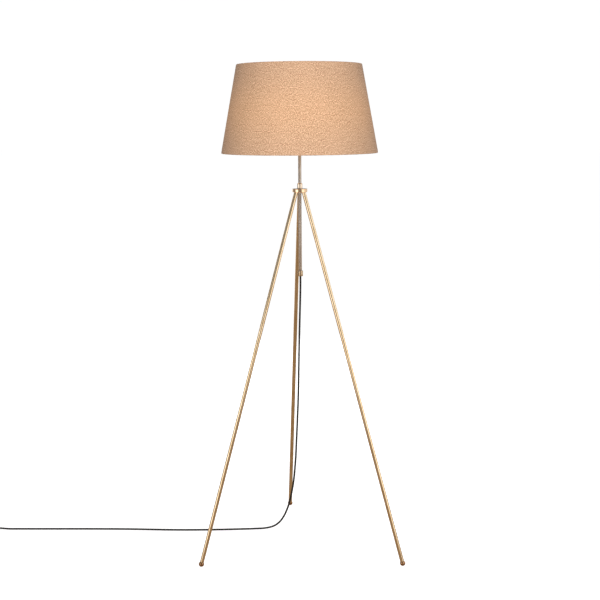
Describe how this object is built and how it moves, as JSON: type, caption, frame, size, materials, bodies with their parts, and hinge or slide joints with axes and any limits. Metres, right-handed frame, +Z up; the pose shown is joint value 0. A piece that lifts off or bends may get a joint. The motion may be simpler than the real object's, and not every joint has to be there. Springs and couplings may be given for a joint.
{
  "type": "tripod floor lamp",
  "caption": "Slim metal tripod floor lamp with ball feet, a height-adjustable column in a clamping gland, a tapered linen shade and a mains lead with foot switch and plug.",
  "frame": {"origin": "on the floor, at the middle in plan of the lamp's own box without its lead; the column's axis stands 61.3 mm in front of it, towards -Y", "axes": "+Z up, +X to the right and +Y away from a viewer who faces the lamp's two front legs"},
  "size_m": [1.5446, 0.5946, 1.5],
  "materials": {
    "satin_brass": "satin brushed, lacquered",
    "dark_brass": "polished, warm antique tone",
    "pale_brass": "satin, pale champagne tone",
    "contact_brass": "plain",
    "steel": "zinc plated",
    "white_wire": "white epoxy coat",
    "linen": "slubby linen weave",
    "lining": "satin white",
    "black_plastic": "fine matt",
    "black_rubber": "matt",
    "cord_sheath": "satin PVC",
    "porcelain": "glazed",
    "opal_diffuser": "opal",
    "white_plastic": "semi-gloss",
    "nylon": "natural nylon",
    "brown_core": "gloss",
    "blue_core": "gloss"
  },
  "bodies": {
    "tripod": {"leg_left_tube": "satin_brass", "leg_left_top_insert": "steel", "leg_left_top_stud": "steel", "leg_left_foot_insert": "steel", "leg_left_foot_ball": "dark_brass", "leg_right_tube": "satin_brass", "leg_right_top_insert": "steel", "leg_right_top_stud": "steel", "leg_right_foot_insert": "steel", "leg_right_foot_ball": "dark_brass", "leg_back_tube": "satin_brass", "leg_back_top_insert": "steel", "leg_back_top_stud": "steel", "leg_back_foot_insert": "steel", "leg_back_foot_ball": "dark_brass", "hub_plate": "satin_brass", "gland_body": "pale_brass", "gland_ferrule": "nylon", "cord_floor": "cord_sheath", "cord_link": "cord_sheath", "cord_coil": "cord_sheath", "cord_end": "cord_sheath", "coil_tie": "black_plastic", "switch_base": "black_plastic", "switch_sleeve_1": "black_rubber", "switch_sleeve_2": "black_rubber", "switch_cover": "black_plastic", "plug_body": "black_plastic", "plug_sleeve": "black_rubber", "plug_pin_1": "steel", "plug_pin_2": "steel"},
    "hanging_lead": {"cord_hanging": "cord_sheath"},
    "column": {"column_tube": "pale_brass", "column_lock_nut": "pale_brass", "cord_grip": "pale_brass", "cord_grip_screw": "steel", "inner_flex": "cord_sheath", "lampholder_cap": "black_plastic", "lampholder_block": "porcelain", "lampholder_centre_contact": "contact_brass", "lampholder_side_contact": "contact_brass", "lampholder_thread": "contact_brass", "lampholder_shell": "black_plastic", "shade_ring_nut_lower": "black_plastic", "shade_ring_nut_upper": "black_plastic", "live_wire": "brown_core", "neutral_wire": "blue_core", "bulb_tip": "steel", "bulb_insulator": "black_plastic", "bulb_cap": "steel", "bulb_base": "white_plastic", "bulb_globe": "opal_diffuser", "shade_fabric": "linen", "shade_liner": "lining", "shade_top_ring": "white_wire", "shade_spider": "white_wire"},
    "gland_nut": {"gland_nut": "pale_brass"},
    "switch_button": {"switch_button": "black_plastic"}
  },
  "joints": [
    {"name": "column_height", "type": "slide", "parent": "tripod", "child": "hanging_lead", "axis": [0, 0, 1], "range_m": [-0.095, 0.22], "deforming": ["cord_hanging"]},
    {"name": "column_swivel", "type": "hinge", "parent": "hanging_lead", "child": "column", "pos_m": [0, -0.06131, 1.12], "axis": [0, 0, 1], "range_deg": [-180, 180]},
    {"name": "gland_nut_turn", "type": "hinge", "parent": "tripod", "child": "gland_nut", "pos_m": [0, -0.06131, 1.14], "axis": [0, 0, 1], "range_deg": [0, 270]},
    {"name": "switch_button_press", "type": "slide", "parent": "tripod", "child": "switch_button", "axis": [0, 0, -1], "range_m": [0, 0.0015], "stiffness_N_per_m": 800, "springref_m": -0.002}
  ]
}
